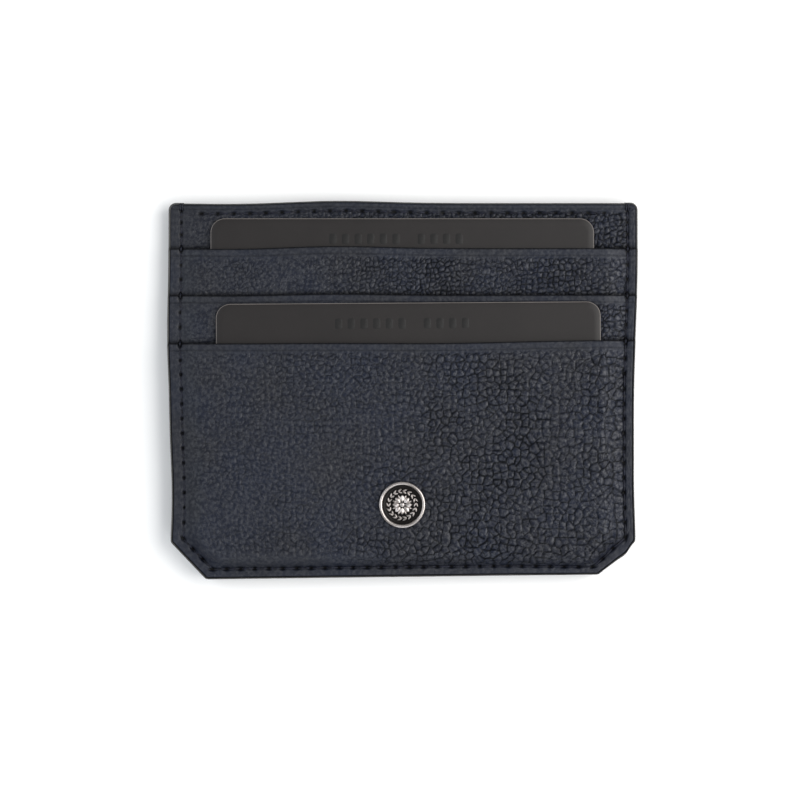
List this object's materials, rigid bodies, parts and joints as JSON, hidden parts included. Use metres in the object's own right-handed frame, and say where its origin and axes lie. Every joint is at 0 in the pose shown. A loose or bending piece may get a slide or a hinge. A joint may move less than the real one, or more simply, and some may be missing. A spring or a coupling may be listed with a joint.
{
  "type": "card holder",
  "caption": "Slim leather card holder with open card slots on both faces, a note compartment between them, cut bottom corners, a round metal badge and two removable cards.",
  "frame": {"origin": "centre of the holder's outline, on the plane that its back rests on", "axes": "+X to the right across the front face, +Y towards the mouth of the slots, +Z out of the front face"},
  "size_m": [0.104, 0.0832, 0.0093],
  "materials": {
    "leather": "pebbled, semi-matt",
    "lining": "fine twill",
    "thread": "waxed thread",
    "nickel": "polished nickel",
    "enamel": "dark enamel",
    "card_plastic": "satin"
  },
  "bodies": {
    "holder": {"front_base_panel": "leather", "front_compartment_lining": "lining", "front_upper_pocket": "leather", "front_upper_pocket_lining": "lining", "front_middle_pocket": "leather", "front_middle_pocket_lining": "lining", "front_outer_pocket": "leather", "front_outer_pocket_lining": "lining", "back_base_panel": "leather", "back_compartment_lining": "lining", "back_upper_pocket": "leather", "back_upper_pocket_lining": "lining", "back_middle_pocket": "leather", "back_middle_pocket_lining": "lining", "back_outer_pocket": "leather", "back_outer_pocket_lining": "lining", "front_edge_stitching": "thread", "back_edge_stitching": "thread", "front_mouth_stitching": "thread", "back_mouth_stitching": "thread", "front_floor_stitching": "thread", "back_floor_stitching": "thread", "badge_rim": "nickel", "badge_field": "enamel", "badge_rosette": "nickel", "badge_washer": "nickel"},
    "upper_card_body": {"upper_card": "card_plastic"},
    "lower_card_body": {"lower_card": "card_plastic"}
  },
  "joints": [
    {"name": "upper_card_slide", "type": "slide", "parent": "holder", "child": "upper_card_body", "axis": [0, 1, 0], "range_m": [0, 0.055]},
    {"name": "lower_card_slide", "type": "slide", "parent": "holder", "child": "lower_card_body", "axis": [0, 1, 0], "range_m": [-0.0015, 0.055]}
  ]
}
